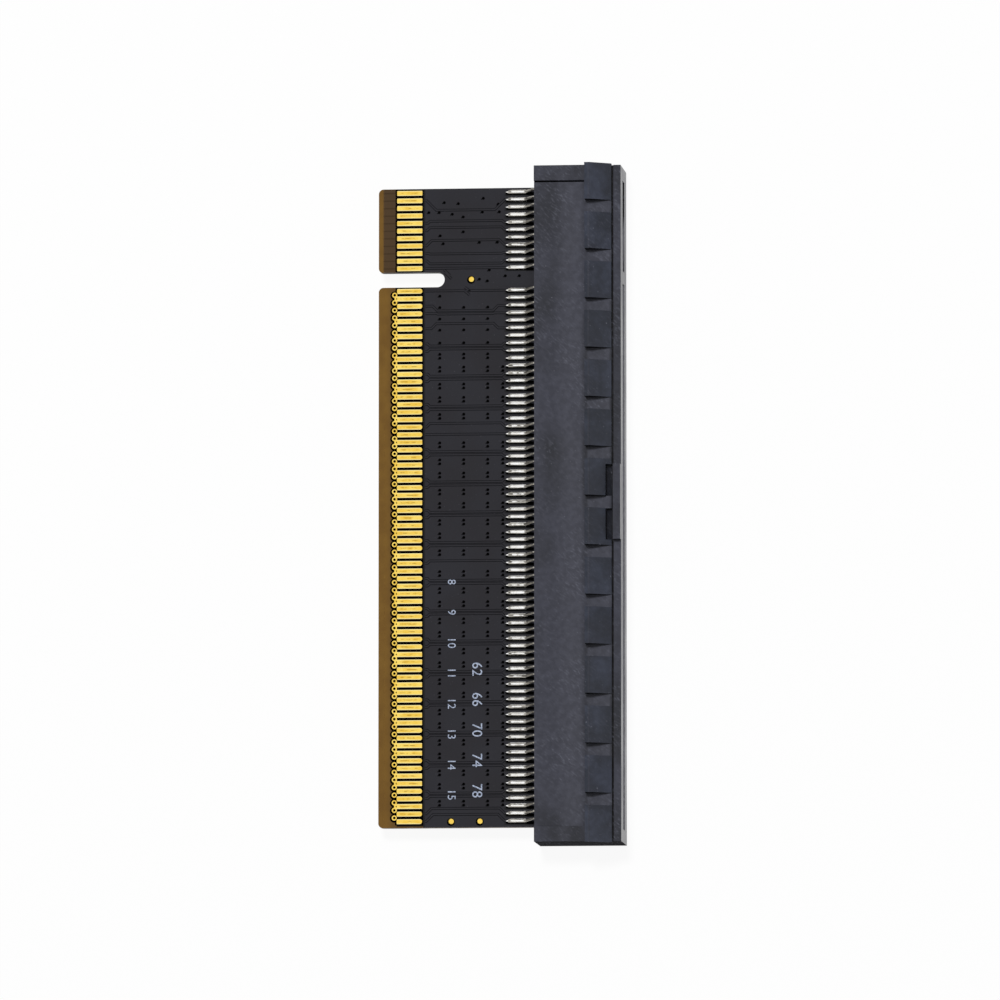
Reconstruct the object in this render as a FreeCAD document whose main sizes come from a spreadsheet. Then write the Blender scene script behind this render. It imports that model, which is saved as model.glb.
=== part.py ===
import FreeCAD, Part
import Sketcher
import os

os.makedirs("parts", exist_ok=True)
doc = FreeCAD.newDocument("riser_card")

# Lengths in mm. Heights count from the card's middle plane, depths from the housing's rear face.
driving = {
    "pin_pitch": 1.0,
    "pin_gap": 3.0,
    "short_count": 11,
    "long_count": 71,
    "key_centre": 30.0,
    "key_half": 1.0,
    "key_depth": 8.75,
    "board_depth": 20.9,
    "laminate_half": 0.735,
    "upper_margin": 0.55,
    "lower_margin": 0.8,
    "corner_radius": 0.6,
    "bevel_width": 0.8,
    "bevel_drop": 0.29,
    "finger_start": 2.45,
    "finger_end": 5.8,
    "finger_half": 0.36,
    "finger_rise": 0.05,
    "mask_start": 5.95,
    "mask_rise": 0.04,
    "spot_radius": 0.45,
    "spot_upper": 12.3,
    "spot_left": 9.66,
    "spot_right": 13.45,
    "housing_depth": 11.42,
    "housing_half": 4.15,
    "end_reach": 3.0,
    "strip_length": 2.0,
    "strip_rise": 0.45,
    "slot_half": 0.9,
    "slot_floor": 3.1,
    "slot_margin": 1.25,
    "rib_half": 0.85,
    "channel_half": 0.3,
    "channel_top": 2.5,
    "tip_room": 0.42,
    "lead_in": 0.4,
    "gusset_count": 14,
    "gusset_pitch": 6.5,
    "gusset_length": 4.85,
    "gusset_start": 6.78,
    "gusset_crest": 7.5,
    "gusset_rise": 1.9,
    "gusset_foot": 0.12,
    "groove_start": 10.2,
    "groove_width": 0.25,
    "groove_drop": 0.45,
    "tab_half": 4.95,
    "tab_rise": 1.2,
    "pocket_start": 9.45,
    "pocket_drop": 0.9,
    "contact_half": 0.225,
    "contact_thick": 0.2,
    "foot_toe": 3.7,
    "foot_heel": 1.4,
    "shoulder": 0.05,
    "shoulder_lag": 0.1,
    "bump_reach": 9.2,
    "bump_height": 0.7,
    "tip_reach": 10.4,
    "tip_height": 1.2,
    "joint_half": 0.31,
    "joint_rise": 0.12,
    "joint_toe": 4.15,
    "joint_heel": 0.95,
    "joint_slope": 0.2,
    "spare": 1.0,
}

derived = {
    "rear_face": "(board_depth - housing_depth) / 2",
    "short_near": "key_centre + pin_gap / 2",
    "long_near": "key_centre - pin_gap / 2",
    "short_far": "short_near + (short_count - 1) * pin_pitch",
    "long_far": "long_near - (long_count - 1) * pin_pitch",
    "upper_edge": "short_far + upper_margin",
    "lower_edge": "long_far - lower_margin",
    "housing_top": "short_far + end_reach",
    "housing_bottom": "long_far - end_reach",
    "housing_middle": "(short_far + long_far) / 2",
    "gusset_first": "housing_middle - (gusset_count - 1) * gusset_pitch / 2",
    "gusset_half": "gusset_length / 2",
    "pocket_near": "(gusset_pitch - gusset_length) / 2",
    "pocket_pitch": "pocket_near + tab_half",
    "strip_pitch": "housing_top - housing_bottom - strip_length",
}

sheet = doc.addObject("Spreadsheet::Sheet", "sizes")
for line, (name, number) in enumerate(driving.items(), start=1):
    sheet.set(f"A{line}", name)
    sheet.set(f"B{line}", str(number))
    sheet.setAlias(f"B{line}", name)
for line, (name, rule) in enumerate(derived.items(), start=len(driving) + 1):
    sheet.set(f"A{line}", name)
    sheet.set(f"B{line}", "=" + rule)
    sheet.setAlias(f"B{line}", name)
doc.recompute()


origin = ""  # the signed sum of nothing: the rear face or the middle plane


def signed(text):
    """Splits '-board_depth +finger_start' into signs and names."""
    return [(-1 if word[0] == "-" else 1, word.strip("+-")) for word in text.split()]


def amount(text):
    """The number that a signed sum of named sizes comes to."""
    return sum(sign * float(sheet.get(name)) for sign, name in signed(text))


def formula(text):
    """The same signed sum as an expression on the sheet."""
    words = [f"{'-' if sign < 0 else '+'} sizes.{name}" for sign, name in signed(text)]
    return " ".join(words).lstrip("+ ") or "0"


def flipped(text):
    """The signed sum on the other side of the card."""
    return " ".join(("+" if sign < 0 else "-") + name for sign, name in signed(text))


def origin_part(body, role):
    return [feature for feature in body.Origin.OriginFeatures if feature.Role == role][0]


def new_body(name):
    """A body placed on the housing's rear face, at the card's middle plane."""
    body = doc.addObject("PartDesign::Body", name)
    body.Label = name
    body.AllowCompound = True
    body.setExpression("Placement.Base.x", "sizes.rear_face")
    body.setExpression("Placement.Base.z", "sizes.housing_half")
    return body


def pin_down(sketch, line, corner, across, up):
    """Binds one corner of a sketch to the sheet."""
    for kind, text in (("DistanceX", across), ("DistanceY", up)):
        index = sketch.addConstraint(Sketcher.Constraint(kind, -1, 1, line, corner, amount(text)))
        sketch.setExpression(f"Constraints[{index}]", formula(text))


def draw_loop(sketch, loop):
    """A closed outline with every corner bound to the sheet."""
    corners = [FreeCAD.Vector(amount(across), amount(up), 0) for across, up in loop]
    first = sketch.GeometryCount
    for start, end in zip(corners, corners[1:] + corners[:1]):
        sketch.addGeometry(Part.LineSegment(start, end), False)
    for step in range(len(loop)):
        line = first + step
        after = first + (step + 1) % len(loop)
        sketch.addConstraint(Sketcher.Constraint("Coincident", line, 2, after, 1))
        pin_down(sketch, line, 1, *loop[step])


def draw_circle(sketch, across, up, radius):
    """A circle with its centre and radius bound to the sheet."""
    centre = FreeCAD.Vector(amount(across), amount(up), 0)
    ring = sketch.addGeometry(Part.Circle(centre, FreeCAD.Vector(0, 0, 1), amount(radius)), False)
    pin_down(sketch, ring, 3, across, up)
    index = sketch.addConstraint(Sketcher.Constraint("Radius", ring, amount(radius)))
    sketch.setExpression(f"Constraints[{index}]", formula(radius))


def new_sketch(body, name, role, offset):
    sketch = body.newObject("Sketcher::SketchObject", name)
    sketch.AttachmentSupport = [(origin_part(body, role), "")]
    sketch.MapMode = "FlatFace"
    sketch.setExpression("AttachmentOffset.Base.z", offset)
    return sketch


def solid_step(body, kind, name, sketch, low, high):
    """Pads or pockets a sketch evenly to both sides, from low to high."""
    before = body.Shape.Volume if body.Tip else 0.0
    step = body.newObject(kind, name)
    step.Profile = sketch
    step.SideType = "Symmetric"
    step.Length = amount(high) - amount(low)
    step.setExpression("Length", f"({formula(high)}) - ({formula(low)})")
    body.Tip = step
    doc.recompute()
    change = body.Shape.Volume - before
    if (change > 0) != (kind == "PartDesign::Pad"):
        raise RuntimeError(f"{name} changed the volume the wrong way: {change}")
    return step


def bar(body, kind, name, loops, low, high):
    """A bar along the pin row: its section seen from the card's side, from low to high."""
    middle = f"-(({formula(low)}) + ({formula(high)})) / 2"
    sketch = new_sketch(body, name + "_section", "XZ_Plane", middle)
    for loop in loops:
        draw_loop(sketch, loop)
    return solid_step(body, kind, name, sketch, low, high)


def grow(body, name, loops, low, high):
    return bar(body, "PartDesign::Pad", name, loops, low, high)


def cut(body, name, loops, low, high):
    return bar(body, "PartDesign::Pocket", name, loops, low, high)


def plate_step(body, kind, name, loops, circles, low, high):
    """A flat shape seen from above, between two heights."""
    sketch = new_sketch(body, name + "_plan", "XY_Plane", f"(({formula(low)}) + ({formula(high)})) / 2")
    for loop in loops:
        draw_loop(sketch, loop)
    for circle in circles:
        draw_circle(sketch, *circle)
    return solid_step(body, kind, name, sketch, low, high)


def row(body, step, spacing, count, downward=False):
    """Repeats a step along the pin row."""
    pattern = body.newObject("PartDesign::LinearPattern", step.Name + "_row")
    pattern.Originals = [step]
    pattern.Direction = (origin_part(body, "Y_Axis"), [""])
    pattern.Reversed = downward
    pattern.Mode = "Spacing"
    body.Tip = pattern
    pattern.setExpression("Offset", "sizes." + spacing)
    pattern.setExpression("Occurrences", "sizes." + count if isinstance(count, str) else str(count))
    doc.recompute()
    return pattern


def box(left, right, low, high):
    return [(left, low), (right, low), (right, high), (left, high)]


def on_side(loop, side):
    """Turns a section for the front into one for the back."""
    return loop if side == "front" else [(across, flipped(up)) for across, up in loop]


def cut_key(body, high):
    """The key notch, open to the finger edge, with a round end."""
    notch = box("-board_depth -spare", "-board_depth +key_depth -key_half",
                "+key_centre -key_half", "+key_centre +key_half")
    end = ("-board_depth +key_depth -key_half", "+key_centre", "+key_half")
    plate_step(body, "PartDesign::Pocket", "key_notch", [notch], [], "-" + high, "+" + high)
    plate_step(body, "PartDesign::Pocket", "key_end", [], [end], "-" + high, "+" + high)


# Card: bare laminate with a notch, rounded tongue corners and a bevelled finger edge.
board = new_body("circuit_board")
outline = box("-board_depth", origin, "+lower_edge", "+upper_edge")
plate_step(board, "PartDesign::Pad", "laminate", [outline], [], "-laminate_half", "+laminate_half")
cut_key(board, "laminate_half")
edge_at = -amount("+board_depth")
corner_names = []
for number, edge in enumerate(board.Shape.Edges, start=1):
    ends = [vertex.Point for vertex in edge.Vertexes]
    upright = len(ends) == 2 and abs(ends[0].z - ends[1].z) > amount("+laminate_half")
    if upright and abs(board.Placement.inverse().multVec(ends[0]).x - edge_at) < 0.01:
        corner_names.append(f"Edge{number}")
sharp = board.Tip
corners = board.newObject("PartDesign::Fillet", "tongue_corners")
corners.Base = (sharp, corner_names)
corners.setExpression("Radius", "sizes.corner_radius")
board.Tip = corners
doc.recompute()
wedge = [
    ("-board_depth", "+laminate_half -bevel_drop"),
    ("-board_depth +bevel_width", "+laminate_half"),
    ("-board_depth", "+laminate_half"),
]
cut(board, "edge_bevel", [wedge, on_side(wedge, "back")], "+lower_edge", "+upper_edge")

# Solder mask: a thin skin on each face, from behind the fingers to the housing.
for side in ("front", "back"):
    mask = new_body("solder_mask_" + side)
    skin = box("-board_depth +mask_start", origin, "+lower_edge", "+upper_edge")
    low, high = "+laminate_half", "+laminate_half +mask_rise"
    if side == "back":
        low, high = flipped(high), flipped(low)
    plate_step(mask, "PartDesign::Pad", "skin_" + side, [skin], [], low, high)
    cut_key(mask, "housing_half")

# Three bare test points, flat on the front skin.
spots = [
    ("-board_depth +spot_upper", "+key_centre"),
    ("-board_depth +spot_left", "+long_far"),
    ("-board_depth +spot_right", "+long_far"),
]
test_points = new_body("test_points")
discs = [(across, up, "+spot_radius") for across, up in spots]
plate_step(test_points, "PartDesign::Pad", "spots", [], discs,
           "+laminate_half +mask_rise", "+laminate_half +mask_rise +finger_rise")

# Rows of like pieces: eleven above the key notch and seventy-one below it.
finger = box("-board_depth +finger_start", "-board_depth +finger_end",
             "+laminate_half", "+laminate_half +finger_rise")
joint = [
    ("-joint_toe", "+laminate_half +mask_rise"),
    ("-joint_heel", "+laminate_half +mask_rise"),
    ("-joint_heel -joint_slope", "+laminate_half +mask_rise +joint_rise"),
    ("-joint_toe +joint_slope", "+laminate_half +mask_rise +joint_rise"),
]
foot = "+laminate_half +mask_rise +joint_rise"
contact = [
    ("-foot_toe", foot),
    ("-foot_heel", foot),
    ("+shoulder +shoulder_lag", "+channel_top -contact_thick"),
    ("+bump_reach", "+bump_height"),
    ("+tip_reach", "+tip_height"),
    ("+tip_reach -shoulder_lag", "+tip_height +contact_thick"),
    ("+bump_reach", "+bump_height +contact_thick"),
    ("+shoulder", "+channel_top"),
    ("-foot_heel -shoulder_lag", foot + " +contact_thick"),
    ("-foot_toe", foot + " +contact_thick"),
]
row_pieces = {
    "edge_fingers": (finger, "finger_half"),
    "solder_joints": (joint, "joint_half"),
    "contacts": (contact, "contact_half"),
}
for piece, (section, half) in row_pieces.items():
    for side in ("front", "back"):
        for group in ("short", "long"):
            body = new_body(f"{piece}_{side}_{group}")
            loops = [on_side(section, side)]
            start = f"+{group}_near"
            first = grow(body, f"{piece}_{side}_{group}_one", loops, f"{start} -{half}", f"{start} +{half}")
            row(body, first, "pin_pitch", f"{group}_count", downward=group == "long")

# Slot housing: a block with gussets, end strips and a middle tab on its upper face.
housing = new_body("connector_housing")
block = box(origin, "+housing_depth", "-housing_half", "+housing_half")
grow(housing, "block", [block], "+housing_bottom", "+housing_top")
gusset = [
    ("+gusset_start", "+housing_half -spare"),
    ("+groove_start", "+housing_half -spare"),
    ("+groove_start", "+housing_half +gusset_foot"),
    ("+gusset_crest", "+housing_half +gusset_rise"),
    ("+gusset_start", "+housing_half +gusset_rise"),
]
first = grow(housing, "gusset", [gusset], "+gusset_first -gusset_half", "+gusset_first +gusset_half")
row(housing, first, "gusset_pitch", "gusset_count")
strip = box(origin, "+gusset_start", "+housing_half -spare", "+housing_half +strip_rise")
first = grow(housing, "end_strip", [strip], "+housing_bottom", "+housing_bottom +strip_length")
row(housing, first, "strip_pitch", 2)
tab = box("+groove_start +groove_width", "+housing_depth", "+housing_half -spare", "+housing_half +tab_rise")
grow(housing, "rim_tab", [tab], "+housing_middle -tab_half", "+housing_middle +tab_half")
groove = box("+groove_start", "+groove_start +groove_width",
             "+housing_half -groove_drop", "+housing_half +tab_rise +spare")
cut(housing, "rim_groove", [groove], "+housing_bottom -spare", "+housing_top +spare")
pocket = box("+pocket_start", "+groove_start", "+housing_half -pocket_drop", "+housing_half +spare")
first = cut(housing, "tab_pocket", [pocket], "+housing_middle -tab_half", "+housing_middle -pocket_near")
row(housing, first, "pocket_pitch", 2)
slot = box("+slot_floor", "+housing_depth", "-slot_half", "+slot_half")
slot_spans = {
    "short": ("+key_centre +rib_half", "+short_far +slot_margin"),
    "long": ("+long_far -slot_margin", "+key_centre -rib_half"),
}
channel = box("-spare", "+tip_reach +tip_room", "+slot_half", "+channel_top")
lead = [
    ("+housing_depth -lead_in", "+slot_half"),
    ("+housing_depth", "+slot_half"),
    ("+housing_depth", "+slot_half +lead_in"),
]
for group, (low, high) in slot_spans.items():
    cut(housing, f"slot_{group}", [slot], low, high)
    cut(housing, f"lead_in_{group}", [lead, on_side(lead, "back")], low, high)
for group in slot_spans:
    low, high = f"+{group}_near -channel_half", f"+{group}_near +channel_half"
    first = cut(housing, f"channel_{group}", [channel, on_side(channel, "back")], low, high)
    row(housing, first, "pin_pitch", f"{group}_count", downward=group == "long")

doc.recompute()
bodies = [item for item in doc.Objects if item.TypeId == "PartDesign::Body"]
for item in doc.Objects:
    if "Invalid" in item.State or "Error" in item.State:
        raise RuntimeError(f"{item.Name} is not sound: {item.State}")
for body in bodies:
    if body.Shape.isNull() or not body.Shape.isValid():
        raise RuntimeError(f"{body.Label} has no sound shape")
    body.Shape.exportStep(f"parts/{body.Label}.step")
    print(body.Label, len(body.Shape.Solids), round(body.Shape.Volume, 2))
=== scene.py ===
import math
import random

import bmesh
import bpy
from mathutils import Matrix, Vector


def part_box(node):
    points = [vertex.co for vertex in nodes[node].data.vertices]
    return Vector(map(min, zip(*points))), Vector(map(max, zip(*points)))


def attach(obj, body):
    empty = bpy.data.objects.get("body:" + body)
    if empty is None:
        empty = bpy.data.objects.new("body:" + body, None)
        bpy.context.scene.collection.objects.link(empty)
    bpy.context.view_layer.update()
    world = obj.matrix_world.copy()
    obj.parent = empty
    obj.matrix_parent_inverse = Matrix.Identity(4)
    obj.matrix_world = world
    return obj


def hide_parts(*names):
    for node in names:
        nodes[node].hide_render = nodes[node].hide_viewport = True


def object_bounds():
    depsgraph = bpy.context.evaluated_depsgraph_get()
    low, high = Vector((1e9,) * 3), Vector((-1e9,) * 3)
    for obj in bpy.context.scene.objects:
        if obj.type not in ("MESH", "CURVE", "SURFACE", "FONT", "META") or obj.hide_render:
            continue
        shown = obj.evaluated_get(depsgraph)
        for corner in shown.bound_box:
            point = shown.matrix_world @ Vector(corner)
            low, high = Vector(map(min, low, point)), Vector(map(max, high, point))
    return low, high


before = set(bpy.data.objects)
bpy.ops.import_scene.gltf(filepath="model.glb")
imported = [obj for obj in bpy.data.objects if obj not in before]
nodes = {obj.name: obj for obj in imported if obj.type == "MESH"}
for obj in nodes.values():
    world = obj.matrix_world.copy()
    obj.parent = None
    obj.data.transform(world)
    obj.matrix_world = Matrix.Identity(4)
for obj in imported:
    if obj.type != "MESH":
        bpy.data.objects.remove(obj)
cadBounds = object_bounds()
scene = bpy.context.scene
mm = 0.001
random.seed(82)
print("riser: frame loaded,", len(nodes), "nodes")


def addPiece(name, bm, material, hides=(), smoothAngle=None, second=None):
    # every added piece rides on the one body; second is a material and the test for the faces that take it
    bmesh.ops.recalc_face_normals(bm, faces=bm.faces)
    if second is not None:
        for face in bm.faces:
            face.material_index = int(second[1](face.normal))
    mesh = bpy.data.meshes.new(name)
    bm.to_mesh(mesh)
    bm.free()
    piece = bpy.data.objects.new(name, mesh)
    scene.collection.objects.link(piece)
    mesh.materials.append(material)
    if second is not None:
        mesh.materials.append(second[0])
    if smoothAngle is not None:
        mesh.shade_smooth()
        mesh.set_sharp_from_angle(angle=math.radians(smoothAngle))
    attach(piece, "root")
    if hides:
        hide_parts(*hides)
    return piece


def pieceName(kind, faceName, part=""):
    return kind + faceName.capitalize() + part


def nodeTitle(kind, faceName, part):
    return "_".join((kind, faceName, part.lower()))


def joinRings(bm, rings):
    for lower, upper in zip(rings, rings[1:]):
        for i in range(len(lower)):
            j = (i + 1) % len(lower)
            bm.faces.new((lower[i], lower[j], upper[j], upper[i]))


def skinLoops(bm, loops):
    # walls from loop to loop, and a face over each end
    rings = [[bm.verts.new(point) for point in loop] for loop in loops]
    joinRings(bm, rings)
    bm.faces.new(rings[0])
    bm.faces.new(rings[-1])


def circle(centre, radius, steps):
    angles = [2 * math.pi * i / steps for i in range(steps)]
    return [(centre[0] + radius * math.cos(angle), centre[1] + radius * math.sin(angle)) for angle in angles]


def cornerArc(centre, radius, start, end, steps):
    points = []
    for i in range(steps + 1):
        angle = math.radians(start + (end - start) * i / steps)
        points.append((centre[0] + radius * math.cos(angle), centre[1] + radius * math.sin(angle)))
    return points


smallestRadius = 0.005 * mm


def padOutline(left, right, low, high, leftRadius, rightRadius, inset=0.0, steps=4):
    # flat outline with its own corner radius at each end
    left, right, low, high = left + inset, right - inset, low + inset, high - inset
    a = max(leftRadius - inset, smallestRadius)
    b = max(rightRadius - inset, smallestRadius)
    points = cornerArc((right - b, low + b), b, -90, 0, steps)
    points += cornerArc((right - b, high - b), b, 0, 90, steps)
    points += cornerArc((left + a, high - a), a, 90, 180, steps)
    points += cornerArc((left + a, low + a), a, 180, 270, steps)
    return points


def roundedPath(points, radii, steps):
    # straight runs with an arc at each corner
    path = [Vector(points[0])]
    for before, corner, after, radius in zip(points, points[1:], points[2:], radii):
        corner = Vector(corner)
        inward = (Vector(before) - corner).normalized()
        outward = (Vector(after) - corner).normalized()
        half = inward.angle(outward) / 2
        reach = radius / math.tan(half)
        start, end = corner + inward * reach, corner + outward * reach
        for i in range(steps + 1):
            t = i / steps
            path.append(start * (1 - t) ** 2 + corner * (2 * t * (1 - t)) + end * t ** 2)
    path.append(Vector(points[-1]))
    return path


# where things are, from the nodes
boardLow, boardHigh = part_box("circuit_board")
housingLow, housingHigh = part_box("connector_housing")
maskLow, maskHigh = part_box("solder_mask_front")
shortLow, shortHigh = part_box("edge_fingers_front_short")
longLow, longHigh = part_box("edge_fingers_front_long")
jointLow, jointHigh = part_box("solder_joints_front_long")
leadLow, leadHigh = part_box("contacts_front_long")
midPlane = (boardLow[2] + boardHigh[2]) / 2
laminateTop = boardHigh[2] - midPlane
fingerTop = longHigh[2] - midPlane
maskTop = maskHigh[2] - midPlane

pinRow = {
    "pitch": 1.0 * mm,
    "shortCount": 11,
    "longCount": 71,
}
fingerHalf = (shortHigh[1] - shortLow[1] - (pinRow["shortCount"] - 1) * pinRow["pitch"]) / 2


def pinPlace(number):
    # the middle line of a pin, counted from the upper end
    if number <= pinRow["shortCount"]:
        return shortHigh[1] - fingerHalf - (number - 1) * pinRow["pitch"]
    return longHigh[1] - fingerHalf - (number - 1 - pinRow["shortCount"]) * pinRow["pitch"]


allPins = range(1, pinRow["shortCount"] + pinRow["longCount"] + 1)
shortPins = [n for n in allPins if n <= pinRow["shortCount"]]
longPins = [n for n in allPins if n > pinRow["shortCount"]]
pinGroups = {"Short": shortPins, "Long": longPins}

# ground pins and the first pin of each pair, face by face
layout = {
    "front": {
        "side": 1,
        "ground": (13, 16, 18, 21, 22, 25, 26, 29, 32, 35, 36, 39, 40, 43, 44, 47, 49, 52, 53, 56, 57,
                   60, 61, 64, 65, 68, 69, 72, 73, 76, 77, 80),
        "pairs": (14, 19, 23, 27, 33, 37, 41, 45, 50, 54, 58, 62, 66, 70, 74, 78),
        "singles": (2, 5, 6, 8, 9, 10, 11, 12, 17, 30, 31, 48, 81, 82),
    },
    "back": {
        "side": -1,
        "ground": (12, 15, 18, 20, 23, 24, 27, 28, 31, 34, 37, 38, 41, 42, 45, 46, 49, 51, 54, 55, 58, 59,
                   62, 63, 66, 67, 70, 71, 74, 75, 78, 79, 82),
        "pairs": (16, 21, 25, 29, 35, 39, 43, 47, 52, 56, 60, 64, 68, 72, 76, 80),
        "singles": (2, 3, 5, 6, 7, 8, 9, 11, 13, 19, 32, 33, 50),
    },
}


def lift(x, y, height, side):
    # a point at a height over the mid-plane, on the front or the back
    return (x, y, midPlane + side * height)


# camera, lamp, white room and floor
cameraSettings = {
    "distance": 1.5,
    "lens": 411.2,
    "sensor": 36.0,
    "leanAcross": 0.0996,
    "leanAlong": -0.1016,
    "aimShift": (-0.07 * mm, 0.74 * mm, 0.0),
    "clipEnd": 20.0,
}


def placeCamera(settings):
    centre = (Vector(cadBounds[0]) + Vector(cadBounds[1])) / 2
    aim = centre + Vector(settings["aimShift"])
    back = Vector((settings["leanAcross"], settings["leanAlong"], 1.0)).normalized()
    right = Vector((0, 1, 0)).cross(back).normalized()
    up = back.cross(right)
    data = bpy.data.cameras.new("productCamera")
    data.lens = settings["lens"]
    data.sensor_width = settings["sensor"]
    data.clip_end = settings["clipEnd"]
    camera = bpy.data.objects.new("productCamera", data)
    scene.collection.objects.link(camera)
    turn = Matrix((right, up, back)).transposed().to_4x4()
    camera.matrix_world = Matrix.Translation(aim + back * settings["distance"]) @ turn
    scene.camera = camera


lightSettings = {
    "keyPlace": (-0.05, 0.24, 1.1),
    "keySize": 0.16,
    "keyPower": 10.0,
    "worldLevel": 0.22,
    "floorColour": (0.9, 0.9, 0.9),
    "floorClear": 0.93,
    "floorHalf": 3.0,
}


def placeKeyLamp(settings):
    data = bpy.data.lights.new("keyLamp", "AREA")
    data.shape = "SQUARE"
    data.size = settings["keySize"]
    data.energy = settings["keyPower"]
    lamp = bpy.data.objects.new("keyLamp", data)
    scene.collection.objects.link(lamp)
    lamp.location = settings["keyPlace"]
    lamp.rotation_euler = (-lamp.location).to_track_quat("-Z", "Y").to_euler()
    lamp.visible_glossy = False  # shine comes from the white room alone


def seenRays(tree):
    # 1 for the rays that show the background: camera, glossy and transmission
    path = tree.nodes.new("ShaderNodeLightPath")
    first = tree.nodes.new("ShaderNodeMath")
    second = tree.nodes.new("ShaderNodeMath")
    first.operation = second.operation = "MAXIMUM"
    tree.links.new(path.outputs["Is Camera Ray"], first.inputs[0])
    tree.links.new(path.outputs["Is Glossy Ray"], first.inputs[1])
    tree.links.new(first.outputs[0], second.inputs[0])
    tree.links.new(path.outputs["Is Transmission Ray"], second.inputs[1])
    return second.outputs[0]


def whiteWorld(settings):
    world = bpy.data.worlds.new("whiteRoom")
    world.use_nodes = True
    tree = world.node_tree
    tree.nodes.clear()
    room = tree.nodes.new("ShaderNodeBackground")
    room.inputs["Strength"].default_value = settings["worldLevel"]
    backdrop = tree.nodes.new("ShaderNodeBackground")
    backdrop.inputs["Color"].default_value = (1, 1, 1, 1)
    backdrop.inputs["Strength"].default_value = 1.0
    mix = tree.nodes.new("ShaderNodeMixShader")
    out = tree.nodes.new("ShaderNodeOutputWorld")
    tree.links.new(seenRays(tree), mix.inputs[0])
    tree.links.new(room.outputs[0], mix.inputs[1])
    tree.links.new(backdrop.outputs[0], mix.inputs[2])
    tree.links.new(mix.outputs[0], out.inputs["Surface"])
    scene.world = world


def layFloor(settings):
    material = bpy.data.materials.new("paleFloor")
    material.use_nodes = True
    tree = material.node_tree
    tree.nodes.clear()
    paint = tree.nodes.new("ShaderNodeBsdfDiffuse")
    paint.inputs["Color"].default_value = (*settings["floorColour"], 1)
    glow = tree.nodes.new("ShaderNodeEmission")
    glow.inputs["Strength"].default_value = 1.0
    part = tree.nodes.new("ShaderNodeMath")
    part.operation = "MULTIPLY"
    part.inputs[1].default_value = settings["floorClear"]
    mix = tree.nodes.new("ShaderNodeMixShader")
    out = tree.nodes.new("ShaderNodeOutputMaterial")
    tree.links.new(seenRays(tree), part.inputs[0])
    tree.links.new(part.outputs[0], mix.inputs[0])
    tree.links.new(paint.outputs[0], mix.inputs[1])
    tree.links.new(glow.outputs[0], mix.inputs[2])
    tree.links.new(mix.outputs[0], out.inputs["Surface"])
    bm = bmesh.new()
    bmesh.ops.create_grid(bm, x_segments=2, y_segments=2, size=settings["floorHalf"])
    mesh = bpy.data.meshes.new("paleFloor")
    bm.to_mesh(mesh)
    bm.free()
    floor = bpy.data.objects.new("paleFloor", mesh)
    scene.collection.objects.link(floor)
    floor.location.z = cadBounds[0][2]
    mesh.materials.append(material)


placeCamera(cameraSettings)
placeKeyLamp(lightSettings)
whiteWorld(lightSettings)
layFloor(lightSettings)
scene.view_settings.view_transform = "Standard"
print("riser: camera, lamp and floor placed")


def tint(code):
    # "#rrggbb" to scene-linear colour
    channels = []
    for i in (1, 3, 5):
        value = int(code[i:i + 2], 16) / 255
        channels.append(value / 12.92 if value <= 0.04045 else ((value + 0.055) / 1.055) ** 2.4)
    return (*channels, 1.0)


def newGroup(name, inputs, outputs):
    group = bpy.data.node_groups.new(name, "ShaderNodeTree")
    for label, kind, value in inputs:
        socket = group.interface.new_socket(label, in_out="INPUT", socket_type=kind)
        if value is not None:
            socket.default_value = value
    for label, kind in outputs:
        group.interface.new_socket(label, in_out="OUTPUT", socket_type=kind)
    entry = group.nodes.new("NodeGroupInput")
    leave = group.nodes.new("NodeGroupOutput")
    return group, entry, leave


def mathNode(tree, operation, first, second=None):
    node = tree.nodes.new("ShaderNodeMath")
    node.operation = operation
    for index, value in enumerate((first, second)):
        if value is None:
            continue
        if isinstance(value, (int, float)):
            node.inputs[index].default_value = value
        else:
            tree.links.new(value, node.inputs[index])
    return node.outputs[0]


def rampMask(tree, value, low, high):
    node = tree.nodes.new("ShaderNodeMapRange")
    node.interpolation_type = "SMOOTHSTEP"
    for socket, source in ((node.inputs["Value"], value), (node.inputs["From Min"], low),
                           (node.inputs["From Max"], high)):
        if isinstance(source, (int, float)):
            socket.default_value = source
        else:
            tree.links.new(source, socket)
    return node.outputs["Result"]


def splitAxes(tree, vector):
    split = tree.nodes.new("ShaderNodeSeparateXYZ")
    tree.links.new(vector, split.inputs[0])
    return split.outputs


def makeMottle():
    group, entry, leave = newGroup("mottle", [
        ("Vector", "NodeSocketVector", None), ("Scale", "NodeSocketFloat", 300.0),
        ("Detail", "NodeSocketFloat", 3.0), ("Low", "NodeSocketFloat", 0.4),
        ("High", "NodeSocketFloat", 0.6)], [("Mask", "NodeSocketFloat")])
    noise = group.nodes.new("ShaderNodeTexNoise")
    group.links.new(entry.outputs["Vector"], noise.inputs["Vector"])
    group.links.new(entry.outputs["Scale"], noise.inputs["Scale"])
    group.links.new(entry.outputs["Detail"], noise.inputs["Detail"])
    mask = rampMask(group, noise.outputs["Fac"], entry.outputs["Low"], entry.outputs["High"])
    group.links.new(mask, leave.inputs["Mask"])
    return group


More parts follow.
